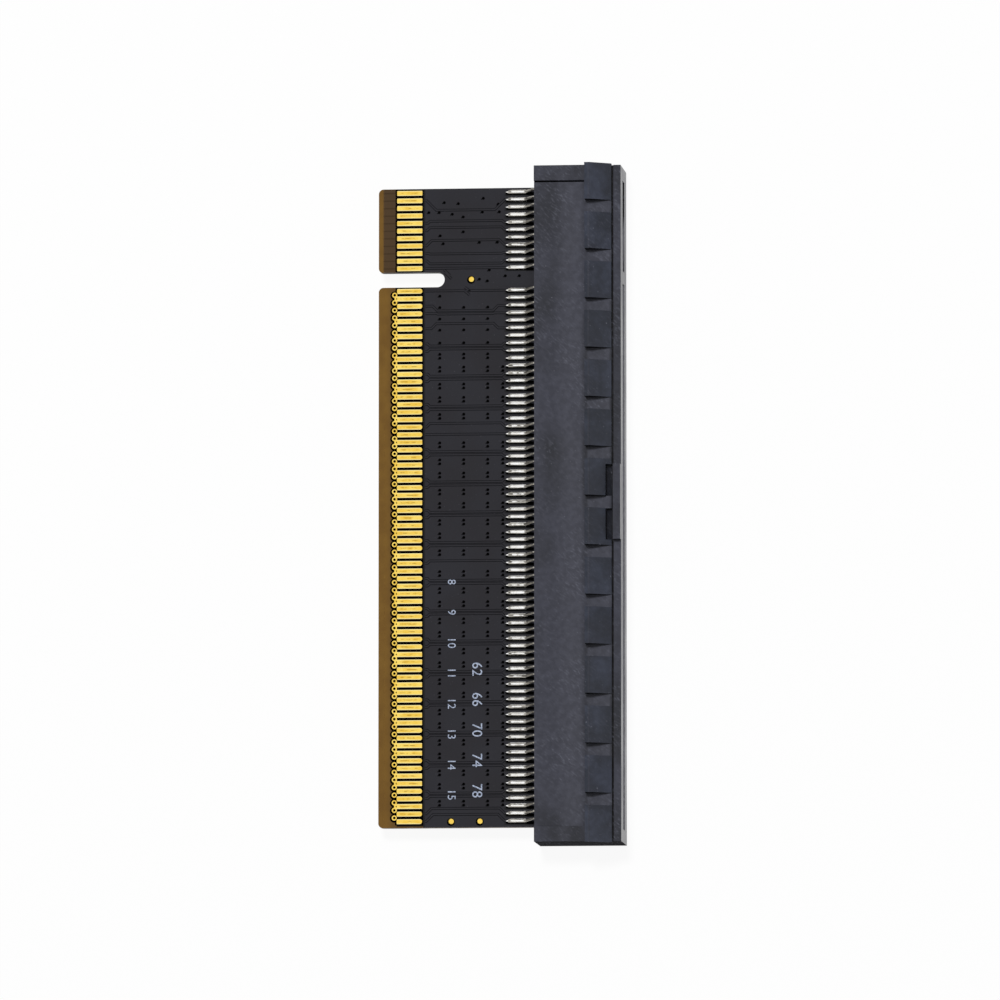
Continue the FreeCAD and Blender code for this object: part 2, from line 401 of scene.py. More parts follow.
def makeHairlines():
    # thin straight scuffs: noise drawn out along one direction
    group, entry, leave = newGroup("hairlines", [
        ("Vector", "NodeSocketVector", None), ("Turn", "NodeSocketVector", (0, 0, 0.8)),
        ("Stretch", "NodeSocketVector", (2600.0, 90.0, 90.0)), ("Low", "NodeSocketFloat", 0.66),
        ("High", "NodeSocketFloat", 0.74)], [("Mask", "NodeSocketFloat")])
    mapping = group.nodes.new("ShaderNodeMapping")
    group.links.new(entry.outputs["Vector"], mapping.inputs["Vector"])
    group.links.new(entry.outputs["Turn"], mapping.inputs["Rotation"])
    drawn = group.nodes.new("ShaderNodeVectorMath")
    drawn.operation = "MULTIPLY"
    group.links.new(mapping.outputs["Vector"], drawn.inputs[0])
    group.links.new(entry.outputs["Stretch"], drawn.inputs[1])
    noise = group.nodes.new("ShaderNodeTexNoise")
    noise.inputs["Scale"].default_value = 1.0
    noise.inputs["Detail"].default_value = 2.0
    group.links.new(drawn.outputs["Vector"], noise.inputs["Vector"])
    mask = rampMask(group, noise.outputs["Fac"], entry.outputs["Low"], entry.outputs["High"])
    group.links.new(mask, leave.inputs["Mask"])
    return group


def makePinBand():
    # how near a point is to the middle line of its pin, 1 on the line
    group, entry, leave = newGroup("pinBand", [
        ("Vector", "NodeSocketVector", None), ("First pin", "NodeSocketFloat", 0.0),
        ("Pitch", "NodeSocketFloat", 0.001), ("Half width", "NodeSocketFloat", 0.0002),
        ("Softness", "NodeSocketFloat", 0.0001)], [("Mask", "NodeSocketFloat")])
    at = splitAxes(group, entry.outputs["Vector"])
    fromFirst = mathNode(group, "SUBTRACT", at["Y"], entry.outputs["First pin"])
    halfPitch = mathNode(group, "MULTIPLY", entry.outputs["Pitch"], 0.5)
    distance = mathNode(group, "PINGPONG", fromFirst, halfPitch)
    far = mathNode(group, "ADD", entry.outputs["Half width"], entry.outputs["Softness"])
    outside = rampMask(group, distance, entry.outputs["Half width"], far)
    mask = mathNode(group, "SUBTRACT", 1.0, outside)
    group.links.new(mask, leave.inputs["Mask"])
    return group


groups = {"mottle": makeMottle(), "hairlines": makeHairlines(), "pinBand": makePinBand()}


def useGroup(tree, name, vector, values):
    node = tree.nodes.new("ShaderNodeGroup")
    node.node_tree = groups[name]
    node.label = name
    tree.links.new(vector, node.inputs["Vector"])
    for label, value in values.items():
        node.inputs[label].default_value = value
    return node.outputs[0]


def startMaterial(name, shaderValues):
    material = bpy.data.materials.new(name)
    material.use_nodes = True
    tree = material.node_tree
    shader = tree.nodes["Principled BSDF"]
    for label, value in shaderValues.items():
        shader.inputs[label].default_value = value
    place = tree.nodes.new("ShaderNodeTexCoord")
    return material, tree, shader, place.outputs["Object"]


def blendColour(tree, mask, first, second):
    node = tree.nodes.new("ShaderNodeMix")
    node.data_type = "RGBA"
    for socket, source in ((node.inputs[0], mask), (node.inputs[6], first), (node.inputs[7], second)):
        if isinstance(source, (tuple, int, float)):
            socket.default_value = source
        else:
            tree.links.new(source, socket)
    return node.outputs[2]


def blendValue(tree, mask, first, second):
    node = tree.nodes.new("ShaderNodeMapRange")
    tree.links.new(mask, node.inputs["Value"])
    node.inputs["To Min"].default_value = first
    node.inputs["To Max"].default_value = second
    return node.outputs["Result"]


def addBump(tree, shader, height, strength, distance):
    bump = tree.nodes.new("ShaderNodeBump")
    bump.inputs["Strength"].default_value = strength
    bump.inputs["Distance"].default_value = distance
    tree.links.new(height, bump.inputs["Height"])
    tree.links.new(bump.outputs["Normal"], shader.inputs["Normal"])


def product(tree, first, *others):
    for other in others:
        first = mathNode(tree, "MULTIPLY", first, other)
    return first


def layOver(tree, base, colour, *masks):
    # the base, with a colour over it where every mask is 1
    return blendColour(tree, product(tree, *masks), base, tint(colour))


def twoTone(tree, mask, first, second):
    return blendColour(tree, mask, tint(first), tint(second))


def spanMask(tree, value, datum, span):
    # rises from 0 to 1 over a span measured from the datum, or falls if the span runs backwards
    return rampMask(tree, value, datum + span[0], datum + span[1])


def pinMask(tree, place, firstPin, band):
    return useGroup(tree, "pinBand", place, {"First pin": firstPin, "Pitch": pinRow["pitch"], **band})


def surfaceNormal(tree):
    geometry = tree.nodes.new("ShaderNodeNewGeometry")
    return splitAxes(tree, geometry.outputs["Normal"])


laminateLook = {
    "resin": "#6d5026",
    "resinLight": "#785a2b",
    "darkResin": "#4a3a29",
    "fibre": "#2e2213",
    "gap": "#0c0907",
    "specular": 0.12,
    "cloud": {"Scale": 420.0, "Detail": 4.0, "Low": 0.3, "High": 0.7},
    "inland": (0.9 * mm, 2.3 * mm),
    "inlandShare": 0.55,
    "aboveKey": (0.2 * mm, 0.6 * mm),
    "pastBevel": (0.5 * mm, 0.8 * mm),
    "tieLine": {"Half width": 0.04 * mm, "Softness": 0.09 * mm},
    "tieShare": 0.5,
    "shadowGapLine": {"Half width": 0.1 * mm, "Softness": 0.1 * mm},
    "gapStart": (-0.05 * mm, 0.05 * mm),
    "clothScale": 1100.0,
    "clothBend": 1.5,
    "clothShare": 0.7,
    "flatNormal": (0.2, 0.5),
    "roughness": (0.42, 0.6),
    "bump": (0.25, 0.02 * mm),
}


def makeLaminate(look):
    material, tree, shader, place = startMaterial("glassLaminate", {"Specular IOR Level": look["specular"]})
    at = splitAxes(tree, place)
    cloud = useGroup(tree, "mottle", place, look["cloud"])
    base = twoTone(tree, cloud, look["resin"], look["resinLight"])
    # the bare strip darkens away from the bevelled edge
    inland = spanMask(tree, at["X"], boardLow[0], look["inland"])
    base = layOver(tree, base, look["darkResin"], inland, look["inlandShare"])
    # above the key the laminate has copper under it and looks darker
    upper = spanMask(tree, at["Y"], longHigh[1], look["aboveKey"])
    pastBevel = spanMask(tree, at["X"], boardLow[0], look["pastBevel"])
    base = layOver(tree, base, look["darkResin"], upper, pastBevel)
    # plating tie lines run from the upper fingers to the bevel
    tie = pinMask(tree, place, pinPlace(1), look["tieLine"])
    tieRow = product(tree, pastBevel, look["tieShare"], upper)
    base = layOver(tree, base, look["fibre"], tie, tieRow)
    # painted shadow: the resin between the fingers is coloured near black
    band = pinMask(tree, place, pinPlace(longPins[0]) - pinRow["pitch"] / 2, look["shadowGapLine"])
    underRow = spanMask(tree, at["X"], longLow[0], look["gapStart"])
    base = layOver(tree, base, look["gap"], band, underRow)
    # glass cloth shows as layers in the cut edges
    layers = tree.nodes.new("ShaderNodeTexWave")
    layers.wave_type = "BANDS"
    layers.bands_direction = "Z"
    layers.inputs["Scale"].default_value = look["clothScale"]
    layers.inputs["Distortion"].default_value = look["clothBend"]
    tree.links.new(place, layers.inputs["Vector"])
    facing = surfaceNormal(tree)
    flat = rampMask(tree, mathNode(tree, "ABSOLUTE", facing["Z"]), *look["flatNormal"])
    cutEdge = mathNode(tree, "SUBTRACT", 1.0, flat)
    base = layOver(tree, base, look["fibre"], layers.outputs["Fac"], look["clothShare"], cutEdge)
    tree.links.new(base, shader.inputs["Base Color"])
    tree.links.new(blendValue(tree, cloud, *look["roughness"]), shader.inputs["Roughness"])
    addBump(tree, shader, cloud, *look["bump"])
    return material


# painted shade: the same ink on the flats, and a nearly black shaded copy of it on the sides of what stands
# under it
flatInkLook = {
    "ink": "#232226",
    "inkLight": "#26262b",
    "inkShade": "#070707",
    "dust": "#55555c",
    "specular": 0.2,
}

shadedInkLook = {
    "ink": "#0b0b0d",
    "inkLight": "#0f0f12",
    "inkShade": "#030303",
    "dust": "#2a2a2e",
    "specular": 0.06,
}

maskSettings = {
    "cloud": {"Scale": 150.0, "Detail": 3.0, "Low": 0.3, "High": 0.7},
    "specks": {"Scale": 5200.0, "Detail": 1.0, "Low": 0.74, "High": 0.8},
    "speckShare": 0.5,
    "fingerShade": (0.3 * mm, 0.12 * mm),
    "jointShade": (-0.25 * mm, 0.15 * mm),
    "rowFade": 0.25 * mm,
    "shadeShare": 0.9,
    "shadeDrop": 0.34 * mm,
    "shadeLine": {"Half width": 0.12 * mm, "Softness": 0.12 * mm},
    "fine": {"Scale": 3200.0, "Detail": 2.0, "Low": 0.2, "High": 0.8},
    "roughness": (0.36, 0.5),
    "bump": (0.25, 0.01 * mm),
}


def makeMaskInk(name, look, settings):
    material, tree, shader, place = startMaterial(name, {"Specular IOR Level": look["specular"]})
    cloud = useGroup(tree, "mottle", place, settings["cloud"])
    base = twoTone(tree, cloud, look["ink"], look["inkLight"])
    specks = useGroup(tree, "mottle", place, settings["specks"])
    base = layOver(tree, base, look["dust"], specks, settings["speckShare"])
    # painted shadow: near-black ink beside the finger row, and a near-black line under each joint
    at = splitAxes(tree, place)
    fromFingers = spanMask(tree, at["X"], maskLow[0], settings["fingerShade"])
    fromJoints = spanMask(tree, at["X"], jointLow[0], settings["jointShade"])
    longRow = rampMask(tree, at["Y"], longHigh[1] + settings["rowFade"], longHigh[1])
    shortRow = rampMask(tree, at["Y"], shortLow[1] - settings["rowFade"], shortLow[1])
    rows = mathNode(tree, "MULTIPLY", mathNode(tree, "ADD", longRow, shortRow), settings["shadeShare"])
    under = pinMask(tree, place, pinPlace(longPins[0]) - settings["shadeDrop"], settings["shadeLine"])
    fromJoints = mathNode(tree, "MULTIPLY", fromJoints, under)
    paintedShade = mathNode(tree, "ADD", fromFingers, fromJoints)
    base = layOver(tree, base, look["inkShade"], paintedShade, rows)
    tree.links.new(base, shader.inputs["Base Color"])
    fine = useGroup(tree, "mottle", place, settings["fine"])
    tree.links.new(blendValue(tree, fine, *settings["roughness"]), shader.inputs["Roughness"])
    addBump(tree, shader, fine, *settings["bump"])
    return material


goldLook = {
    "gold": "#f2c850",
    "goldPale": "#ffdf70",
    "rim": "#fff2b4",
    "wear": "#a8771f",
    "cloud": {"Scale": 900.0, "Detail": 3.0, "Low": 0.3, "High": 0.7},
    "core": {"Half width": 0.2 * mm, "Softness": 0.07 * mm},
    "fingerStart": (0.0, 0.1 * mm),
    "fingerEnd": (0.1 * mm, 0.0),
    "rimHighlightShare": 0.8,
    "wipeLine": {"Half width": 0.03 * mm, "Softness": 0.07 * mm},
    "wipeDashes": {"Turn": (0, 0, 0), "Stretch": (1900.0, 5200.0, 300.0), "Low": 0.42, "High": 0.62},
    "wipeStart": (0.3 * mm, 0.6 * mm),
    "wipeEnd": (-0.3 * mm, -1.0 * mm),
    "wipeShare": 0.75,
    "roughness": (0.3, 0.42),
    "grain": {"Turn": (0, 0, 0), "Stretch": (600.0, 9000.0, 600.0), "Low": 0.3, "High": 0.7},
    "bump": (0.2, 0.004 * mm),
}


def makeGold(look):
    material, tree, shader, place = startMaterial("edgeGold", {"Metallic": 1.0})
    cloud = useGroup(tree, "mottle", place, look["cloud"])
    base = twoTone(tree, cloud, look["gold"], look["goldPale"])
    # painted highlight: the rounded rims of the fingers are coloured paler than their flats
    core = pinMask(tree, place, pinPlace(longPins[0]), look["core"])
    at = splitAxes(tree, place)
    onFinger = product(tree, spanMask(tree, at["X"], longLow[0], look["fingerStart"]),
                       spanMask(tree, at["X"], maskLow[0], look["fingerEnd"]))
    rims = mathNode(tree, "SUBTRACT", 1.0, core)
    base = layOver(tree, base, look["rim"], onFinger, look["rimHighlightShare"], rims)
    # the wiped line that the mating contacts leave along each finger
    line = pinMask(tree, place, pinPlace(longPins[0]), look["wipeLine"])
    dashes = useGroup(tree, "hairlines", place, look["wipeDashes"])
    start = spanMask(tree, at["X"], longLow[0], look["wipeStart"])
    end = spanMask(tree, at["X"], longHigh[0], look["wipeEnd"])
    worn = product(tree, product(tree, line, dashes), product(tree, start, end))
    base = layOver(tree, base, look["wear"], worn, look["wipeShare"])
    tree.links.new(base, shader.inputs["Base Color"])
    tree.links.new(blendValue(tree, cloud, *look["roughness"]), shader.inputs["Roughness"])
    grain = useGroup(tree, "hairlines", place, look["grain"])
    addBump(tree, shader, grain, *look["bump"])
    return material


solderLook = {
    "tin": "#ffffff",
    "tinDark": "#f1efea",
    "metallic": 0.6,
    "cloud": {"Scale": 1300.0, "Detail": 3.0, "Low": 0.35, "High": 0.65},
    "roughness": (0.18, 0.34),
    "ripple": {"Scale": 2600.0, "Detail": 2.0, "Low": 0.2, "High": 0.8},
    "bump": (0.14, 0.012 * mm),
}


def makeSolder(look):
    material, tree, shader, place = startMaterial("brightSolder", {"Metallic": look["metallic"]})
    cloud = useGroup(tree, "mottle", place, look["cloud"])
    base = twoTone(tree, cloud, look["tin"], look["tinDark"])
    tree.links.new(base, shader.inputs["Base Color"])
    tree.links.new(blendValue(tree, cloud, *look["roughness"]), shader.inputs["Roughness"])
    ripple = useGroup(tree, "mottle", place, look["ripple"])
    addBump(tree, shader, ripple, *look["bump"])
    return material


contactLook = {
    "plate": "#b4b0a8",
    "plateDark": "#5a5853",
    "streaks": {"Turn": (0, 0, 0), "Stretch": (500.0, 8000.0, 500.0), "Low": 0.35, "High": 0.65},
    "roughness": (0.25, 0.4),
    "bump": (0.2, 0.006 * mm),
}


def makeContactMetal(look):
    material, tree, shader, place = startMaterial("tinnedBronze", {"Metallic": 1.0})
    streaks = useGroup(tree, "hairlines", place, look["streaks"])
    base = twoTone(tree, streaks, look["plate"], look["plateDark"])
    tree.links.new(base, shader.inputs["Base Color"])
    tree.links.new(blendValue(tree, streaks, *look["roughness"]), shader.inputs["Roughness"])
    addBump(tree, shader, streaks, *look["bump"])
    return material


housingLook = {
    "plastic": "#27282e",
    "plasticLight": "#3d3e47",
    # floorSheen: painted sheen on the open floor
    "floorSheen": "#464750",
    # slope tones: painted shade for the gusset slopes and crests
    "slope": "#262932",
    "slopeShadeLight": "#373b47",
    "pocket": "#10121a",
    "shadeAndBlotches": "#0c0c0e",
    "paintedEntryLight": "#a9aab2",
    "scuff": "#6d6f7b",
    "speck": "#7f818c",
    "cloud": {"Scale": 105.0, "Detail": 4.0, "Low": 0.34, "High": 0.62},
    "smear": {"Scale": 210.0, "Detail": 3.0, "Low": 0.4, "High": 0.66},
    "scuffLines": {"Turn": (0, 0, -0.85), "Stretch": (5200.0, 1500.0, 800.0), "Low": 0.5, "High": 0.75},
    "scuffPatches": {"Scale": 170.0, "Detail": 3.0, "Low": 0.4, "High": 0.62},
    "specks": {"Scale": 3600.0, "Detail": 1.0, "Low": 0.72, "High": 0.82},
    "blotches": {"Scale": 1300.0, "Detail": 3.0, "Low": 0.35, "High": 0.65},
    "grain": {"Scale": 2400.0, "Detail": 3.0, "Low": 0.2, "High": 0.8},
    "floorSheenShare": 0.8,
    "lowerWallShadeShare": 0.85,
    "scuffShare": (0.1, 0.4),
    "scuffOnSlope": (1.0, 0.35),
    "speckShare": 0.45,
    "blotchShare": 0.22,
    "specular": 0.3,
    "shadedCopySpecular": 0.04,
    "roughness": (0.44, 0.58),
    "dullRoughness": 0.95,
    "mouthRoughness": (1.0, 0.6),
    "bump": (0.4, 0.012 * mm),
}

# where the plastic's tones begin and end: by the way a face looks, across the card from the
# housing's rear face, or from the face that the name says
housingZones = {
    "flatNormal": (0.9, 0.98),
    "slopeNormal": (0.3, 0.5),
    "upNormal": (0.5, 0.7),
    "entryNormal": (0.5, 0.6),
    "dullNormal": (-0.35, -0.7),
    "mouthNormal": (0.85, 0.98),
    "floorStart": (2.2 * mm, 5.0 * mm),
    "floorEnd": (6.75 * mm, 6.0 * mm),
    "gapStart": (6.8 * mm, 7.2 * mm),
    "gapEnd": (10.1 * mm, 9.8 * mm),
    "crestUnderTop": (-0.7 * mm, -0.5 * mm),
    "pocketDrop": 0.9 * mm,
    "pocketDepth": (0.2 * mm, 0.1 * mm),
    "pocketStart": (9.2 * mm, 9.3 * mm),
    "pocketReach": (14.0 * mm, 13.0 * mm),
    "grooveStart": (10.17 * mm, 10.19 * mm),
    "grooveEnd": (10.48 * mm, 10.46 * mm),
    "grooveUnderFace": (-0.05 * mm, -0.12 * mm),
    "entryBehindMouth": (-0.95 * mm, -0.8 * mm),
    "entryHalf": (2.4 * mm, 2.2 * mm),
}


def makeHousingPlastic(name, look, zones, specular):
    material, tree, shader, place = startMaterial(name, {"Specular IOR Level": specular})
    cloud = useGroup(tree, "mottle", place, look["cloud"])
    base = twoTone(tree, cloud, look["plastic"], look["plasticLight"])
    at = splitAxes(tree, place)
    facing = surfaceNormal(tree)

    def across(zone):
        return spanMask(tree, at["X"], housingLow[0], zones[zone])

    # painted sheen: the open floor towards the gussets and between them is coloured lighter; painted shade:
    # the gusset slopes and crests take a darker, bluer tone
    flat = rampMask(tree, facing["Z"], *zones["flatNormal"])
    floorStart, floorEnd = across("floorStart"), across("floorEnd")
    gapStart, gapEnd = across("gapStart"), across("gapEnd")
    sheenZones = mathNode(tree, "ADD", product(tree, floorStart, floorEnd), product(tree, gapStart, gapEnd))
    base = layOver(tree, base, look["floorSheen"], flat, look["floorSheenShare"], sheenZones)
    slope = rampMask(tree, facing["X"], *zones["slopeNormal"])
    upward = rampMask(tree, facing["Z"], *zones["upNormal"])
    smear = useGroup(tree, "mottle", place, look["smear"])
    slopeShadeColour = twoTone(tree, smear, look["slope"], look["slopeShadeLight"])
    crest = product(tree, spanMask(tree, at["Z"], housingHigh[2], zones["crestUnderTop"]), flat)
    slope = mathNode(tree, "MAXIMUM", product(tree, slope, upward), crest)
    base = blendColour(tree, slope, base, slopeShadeColour)
    # painted shade: the floors of the two latch pockets are coloured near black
    deep = mathNode(tree, "ABSOLUTE", mathNode(tree, "SUBTRACT", at["Z"], midPlane))
    deep = mathNode(tree, "ABSOLUTE", mathNode(tree, "SUBTRACT", deep, midPlane - zones["pocketDrop"]))
    deep = rampMask(tree, deep, *zones["pocketDepth"])
    late = across("pocketStart")
    near = rampMask(tree, mathNode(tree, "ABSOLUTE", at["Y"]), *zones["pocketReach"])
    base = layOver(tree, base, look["pocket"], deep, late, near, flat)
    # the groove beside the rim holds no light
    grooveStart, grooveEnd = across("grooveStart"), across("grooveEnd")
    sunk = spanMask(tree, at["Z"], 2 * midPlane, zones["grooveUnderFace"])
    base = layOver(tree, base, look["shadeAndBlotches"], grooveStart, grooveEnd, sunk)
    # painted light: the lead-in of the mouth is coloured light grey, standing for the bright room it reflects
    entry = spanMask(tree, at["X"], housingHigh[0], zones["entryBehindMouth"])
    bevel = rampMask(tree, mathNode(tree, "ABSOLUTE", facing["Z"]), *zones["entryNormal"])
    middle = mathNode(tree, "ABSOLUTE", mathNode(tree, "SUBTRACT", at["Z"], midPlane))
    middle = rampMask(tree, middle, *zones["entryHalf"])
    base = layOver(tree, base, look["paintedEntryLight"], entry, bevel, middle)
    # painted shade: walls facing the lower end are coloured near black and made rough
    lowerWalls = rampMask(tree, facing["Y"], *zones["dullNormal"])
    base = layOver(tree, base, look["shadeAndBlotches"], lowerWalls, look["lowerWallShadeShare"])
    scuffs = useGroup(tree, "hairlines", place, look["scuffLines"])
    patches = useGroup(tree, "mottle", place, look["scuffPatches"])
    scuffs = product(tree, scuffs, blendValue(tree, patches, *look["scuffShare"]))
    scuffs = product(tree, scuffs, blendValue(tree, slope, *look["scuffOnSlope"]))
    base = layOver(tree, base, look["scuff"], scuffs)
    specks = useGroup(tree, "mottle", place, look["specks"])
    base = layOver(tree, base, look["speck"], specks, look["speckShare"])
    # random darker blotches share the near-black colour used for painted shade
    blotches = useGroup(tree, "mottle", place, look["blotches"])
    base = layOver(tree, base, look["shadeAndBlotches"], blotches, look["blotchShare"])
    tree.links.new(base, shader.inputs["Base Color"])
    grain = useGroup(tree, "mottle", place, look["grain"])
    mouth = rampMask(tree, facing["X"], *zones["mouthNormal"])
    rough = mathNode(tree, "MAXIMUM", blendValue(tree, cloud, *look["roughness"]),
                     product(tree, lowerWalls, look["dullRoughness"]))
    rough = product(tree, rough, blendValue(tree, mouth, *look["mouthRoughness"]))
    tree.links.new(rough, shader.inputs["Roughness"])
    addBump(tree, shader, grain, *look["bump"])
    return material


legendLook = {
    "ink": "#b9c3d8",
    "thin": "#7d879c",
    "roughness": 0.6,
    "cloud": {"Scale": 5200.0, "Detail": 2.0, "Low": 0.35, "High": 0.6},
    "bump": (0.2, 0.005 * mm),
}


def makeLegendInk(look):
    material, tree, shader, place = startMaterial("legendInk", {"Roughness": look["roughness"]})
    cloud = useGroup(tree, "mottle", place, look["cloud"])
    tree.links.new(twoTone(tree, cloud, look["thin"], look["ink"]), shader.inputs["Base Color"])
    addBump(tree, shader, cloud, *look["bump"])
    return material


# near black for the via bores, and for the sheets of painted shadow
boreAndShadowLook = {
    "deep": "#020202",
    "rim": "#060606",
    "shader": {"Roughness": 0.9, "Specular IOR Level": 0.0},
    "cloud": {"Scale": 6000.0, "Detail": 1.0, "Low": 0.3, "High": 0.7},
}


def makeBoreDark(look):
    material, tree, shader, place = startMaterial("boreAndShadowDark", look["shader"])
    cloud = useGroup(tree, "mottle", place, look["cloud"])
    tree.links.new(twoTone(tree, cloud, look["deep"], look["rim"]), shader.inputs["Base Color"])
    return material


laminate = makeLaminate(laminateLook)
maskInk = makeMaskInk("blackMask", flatInkLook, maskSettings)
shadedMaskInk = makeMaskInk("shadedMaskInk", shadedInkLook, maskSettings)
gold = makeGold(goldLook)
solder = makeSolder(solderLook)
contactMetal = makeContactMetal(contactLook)
housingPlastic = makeHousingPlastic("mouldedPlastic", housingLook, housingZones, housingLook["specular"])
# a shaded copy of the plastic with almost no specular, for the walls facing the lower end: painted shade
housingShadedCopy = makeHousingPlastic("lowerWallShadedPlastic", housingLook, housingZones, housingLook["shadedCopySpecular"])
legendInk = makeLegendInk(legendLook)
boreAndShadowDark = makeBoreDark(boreAndShadowLook)

# what each node wears, by the start of its name
nodeMaterials = {
    "circuit_board": laminate,
    "solder_mask": maskInk,
    "test_points": gold,
    "edge_fingers": gold,
    "solder_joints": solder,
    "contacts": contactMetal,
    "connector_housing": housingPlastic,
}
for nodeName, node in nodes.items():
    chosen = next(material for start, material in nodeMaterials.items() if nodeName.startswith(start))
    for index in range(len(node.data.materials)):
        node.data.materials[index] = chosen
print("riser: materials made")


# each edge finger, the small gold via rings beside the fingers and the near-black bores in them, and
# near-black halos and plates under rings and fingers as painted shadow
fingerSettings = {
    "half": 0.325 * mm,
    "round": 0.018 * mm,
    "roundMiddle": 0.3,
    "shortRadius": 0.1 * mm,
    "groundRadius": 0.06 * mm,
    "signalRadii": (0.14 * mm, 0.3 * mm),
    "ringPlace": 0.31 * mm,
    "ringOuter": 0.345 * mm,
    "ringInner": 0.165 * mm,
    "ringSteps": 20,
    "boreRadius": 0.1749 * mm,
    "boreRise": 0.004 * mm,
    "boreSteps": 14,
    # haloOuter to darkHalf: near-black halos under the rings and plates under the fingers, painted shadow
    "haloOuter": 0.56 * mm,
    "haloShift": (-0.02 * mm, -0.05 * mm),
    "haloSteps": 20,
    "darkRise": 0.006 * mm,
    "darkLeft": 0.22 * mm,
    "darkHalf": 0.49 * mm,
    "leafThick": 0.004 * mm,
    "cornerRadii": (0.1 * mm, 0.02 * mm),
    "collarHalf": 0.26 * mm,
    "collarSpan": (-0.02 * mm, 0.2 * mm),
    "webHalf": 0.2 * mm,
    "webDrop": 0.004 * mm,
    "webStart": 0.15 * mm,
    "webEnd": (0.04 * mm, 0.16 * mm),
    "smoothAngle": 50,
}


def addFinger(bm, number, face, settings):
    low, high = pinPlace(number) - settings["half"], pinPlace(number) + settings["half"]
    if number in shortPins:
        radii = (settings["shortRadius"], settings["shortRadius"])
    elif number in face["ground"]:
        radii = (settings["groundRadius"], settings["groundRadius"])
    else:
        radii = settings["signalRadii"]
    soft = settings["round"] * settings["roundMiddle"]
    loops = []
    for height, inset in ((laminateTop, 0.0), (fingerTop - settings["round"], 0.0),
                          (fingerTop - soft, soft), (fingerTop, settings["round"])):
        flat = padOutline(longLow[0], longHigh[0], low, high, *radii, inset)
        loops.append([lift(x, y, height, face["side"]) for x, y in flat])
    skinLoops(bm, loops)


def addRing(bm, centre, outer, inner, base, top, side, steps, edge):
    rings = []
    for radius, height in ((outer, base), (outer, top - edge), (outer - edge, top),
                           (inner + edge, top), (inner, top - edge), (inner, base)):
        rings.append([bm.verts.new(lift(x, y, height, side)) for x, y in circle(centre, radius, steps)])
    rings.append(rings[0])
    joinRings(bm, rings)


def addDisc(bm, centre, radius, height, side, steps, thick):
    skinLoops(bm, [[lift(x, y, level, side) for x, y in circle(centre, radius, steps)]
                   for level in (height - thick, height)])


def addSlab(bm, flat, base, top, side):
    skinLoops(bm, [[lift(x, y, level, side) for x, y in flat] for level in (base, top)])


def addWeb(bm, start, end, half, base, top, side):
    # a short copper neck between a finger end and a via ring
    along = Vector((end[0] - start[0], end[1] - start[1])).normalized()
    across = Vector((-along.y, along.x)) * half
    corners = [(start[0] + across.x, start[1] + across.y), (start[0] - across.x, start[1] - across.y),
               (end[0] - across.x, end[1] - across.y), (end[0] + across.x, end[1] + across.y)]
    addSlab(bm, corners, base, top, side)


def makeFingers(faceName, face, settings):
    side = face["side"]
    for part, pins in pinGroups.items():
        bm = bmesh.new()
        for number in pins:
            addFinger(bm, number, face, settings)
        addPiece(pieceName("goldFingers", faceName, part), bm, gold,
                 hides=(nodeTitle("edge_fingers", faceName, part),), smoothAngle=settings["smoothAngle"])
    rings, bores = bmesh.new(), bmesh.new()
    ringX = longLow[0] - settings["ringPlace"]
    for number in longPins[:-1]:
        centre = (ringX, pinPlace(number) - pinRow["pitch"] / 2)
        addRing(rings, centre, settings["ringOuter"], settings["ringInner"], laminateTop, fingerTop,
                side, settings["ringSteps"], settings["round"])
        addDisc(bores, centre, settings["boreRadius"], fingerTop + settings["boreRise"], side,
                settings["boreSteps"], settings["leafThick"])
        # a near-black halo under each ring: painted shadow
        halo = (centre[0] + settings["haloShift"][0], centre[1] + settings["haloShift"][1])
        addDisc(bores, halo, settings["haloOuter"], laminateTop + settings["darkRise"], side,
                settings["haloSteps"], settings["leafThick"])
    # a near-black plate under each finger, showing round its edges: painted shadow
    for number in allPins:
        y = pinPlace(number)
        flat = padOutline(longLow[0] - settings["darkLeft"], maskLow[0], y - settings["darkHalf"],
                          y + settings["darkHalf"], *settings["cornerRadii"])
        addSlab(bores, flat, laminateTop, laminateTop + settings["darkRise"], side)
    for number in face["ground"]:
        start = (longLow[0] + settings["webStart"], pinPlace(number))
        left, right = ringX + settings["collarSpan"][0], longLow[0] + settings["collarSpan"][1]
        collar = padOutline(left, right, start[1] - settings["collarHalf"], start[1] + settings["collarHalf"],
                            *settings["cornerRadii"])
        addSlab(rings, collar, laminateTop, fingerTop - 2 * settings["webDrop"], side)
        for step in (0.5, -0.5):
            y = pinPlace(number) + step * pinRow["pitch"]
            if pinPlace(longPins[-1]) < y < pinPlace(longPins[0]):
                end = (ringX + settings["webEnd"][0], y - math.copysign(settings["webEnd"][1], step))
                addWeb(rings, start, end, settings["webHalf"], laminateTop,
                       fingerTop - settings["webDrop"], side)
    addPiece(pieceName("viaRings", faceName), rings, gold, smoothAngle=settings["smoothAngle"])
    addPiece(pieceName("viaBoresAndShadows", faceName), bores, boreAndShadowDark)


for faceName, face in layout.items():
    makeFingers(faceName, face, fingerSettings)
print("riser: fingers and via rings made")


